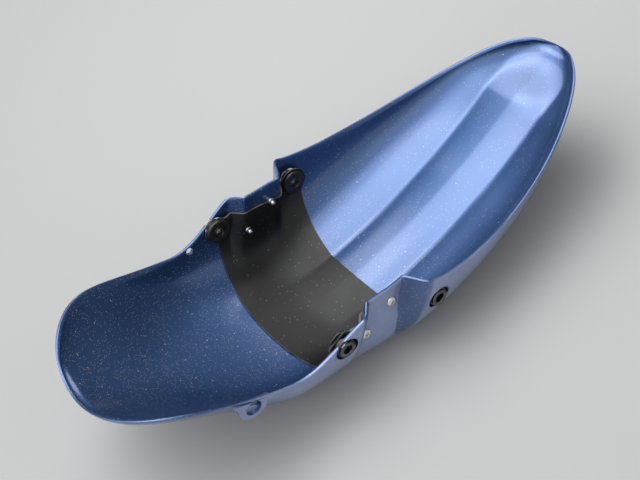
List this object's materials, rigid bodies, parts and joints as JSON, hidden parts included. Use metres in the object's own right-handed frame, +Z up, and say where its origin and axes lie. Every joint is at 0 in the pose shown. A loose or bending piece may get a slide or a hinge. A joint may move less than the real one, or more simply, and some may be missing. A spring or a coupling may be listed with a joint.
{
  "type": "motorcycle front mudguard",
  "caption": "Motorcycle front mudguard lying on its crown: a long ribbed blue moulding with fork recesses and a riveted black steel brace with rubber-mounted collars.",
  "frame": {"origin": "middle of the bounding box in plan, at the surface that the crown lies on", "axes": "+X towards the front tip, +Y to the side with the small hole, away from the ear, +Z up out of the open side"},
  "size_m": [0.4264, 0.174, 0.085],
  "materials": {
    "blue_plastic": "dark blue metallic paint over the moulding, semi-gloss, dusty and lightly scratched",
    "brace_paint": "semi-gloss black paint",
    "rubber": "matt black rubber",
    "collar_steel": "dark plated steel",
    "rivet_aluminium": "bright aluminium",
    "pin_steel": "bright steel"
  },
  "bodies": {
    "root": {"mudguard_skin": "blue_plastic", "fork_brace": "brace_paint", "grommet_front_left": "rubber", "grommet_front_right": "rubber", "grommet_rear_left": "rubber", "grommet_rear_right": "rubber", "collar_front_left": "collar_steel", "collar_front_right": "collar_steel", "collar_rear_left": "collar_steel", "collar_rear_right": "collar_steel", "rivet_front_left": "rivet_aluminium", "rivet_front_right": "rivet_aluminium", "rivet_rear_left": "rivet_aluminium", "rivet_rear_right": "rivet_aluminium", "pin_front_left": "pin_steel", "pin_front_right": "pin_steel", "pin_rear_left": "pin_steel", "pin_rear_right": "pin_steel"}
  },
  "joints": []
}
